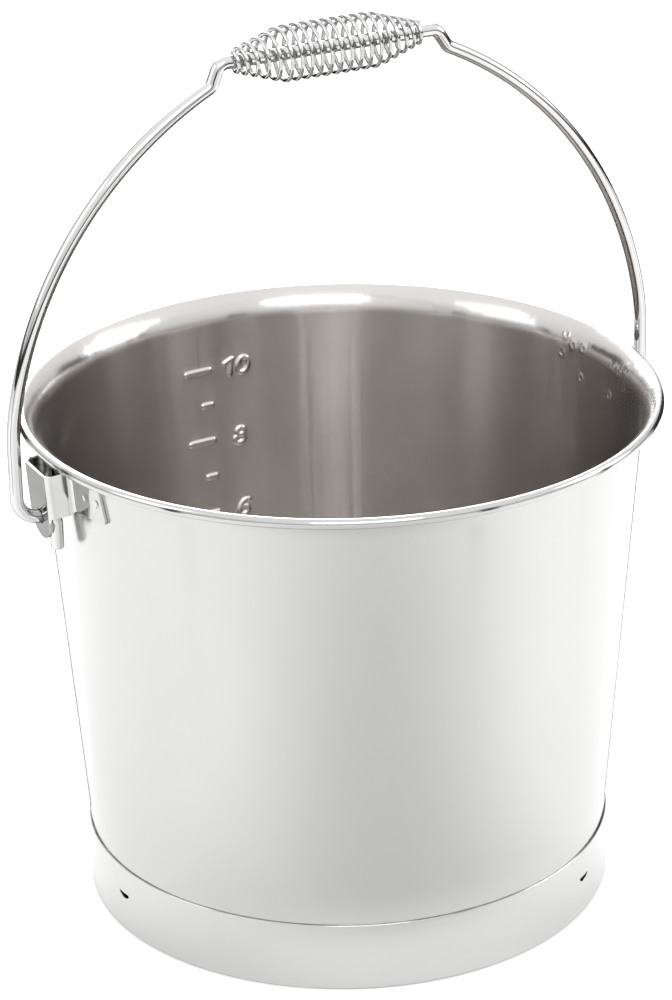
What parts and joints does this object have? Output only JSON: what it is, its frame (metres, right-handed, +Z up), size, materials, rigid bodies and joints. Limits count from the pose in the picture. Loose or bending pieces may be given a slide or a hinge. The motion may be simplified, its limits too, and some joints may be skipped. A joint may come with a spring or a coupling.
{
  "type": "graduated steel pail",
  "caption": "Tapered stainless steel pail with a rolled rim, foot ring, litre scale, bracket ears and a swinging wire bail with a coiled spring grip.",
  "frame": {"origin": "centre of the foot ring on the floor", "axes": "+Z up along the pail's axis, X along the bail's hinge line from the left ear at -X to the right ear at +X"},
  "size_m": [0.325, 0.2938, 0.4147],
  "materials": {
    "wall_steel": "stainless sheet, satin polished outside, brushed inside",
    "bottom_steel": "stainless sheet, brushed",
    "ring_steel": "stainless sheet, satin polished",
    "rim_steel": "drawn stainless wire",
    "ear_steel": "stainless sheet, bright polished",
    "bail_steel": "stainless rod, bright polished",
    "spring_steel": "stainless spring wire, bright"
  },
  "bodies": {
    "pail": {"wall": "wall_steel", "bottom": "bottom_steel", "foot_ring": "ring_steel", "rim_wire": "rim_steel", "ear_left": "ear_steel", "ear_right": "ear_steel"},
    "bail": {"bail": "bail_steel"},
    "grip": {"grip_spring": "spring_steel"}
  },
  "joints": [
    {"name": "bail_swing", "type": "hinge", "parent": "pail", "child": "bail", "pos_m": [0, 0, 0.2104], "axis": [1, 0, 0], "range_deg": [-84, 84]},
    {"name": "grip_spin", "type": "hinge", "parent": "bail", "child": "grip", "pos_m": [0, 0, 0.402], "axis": [1, 0, 0], "continuous": true}
  ]
}
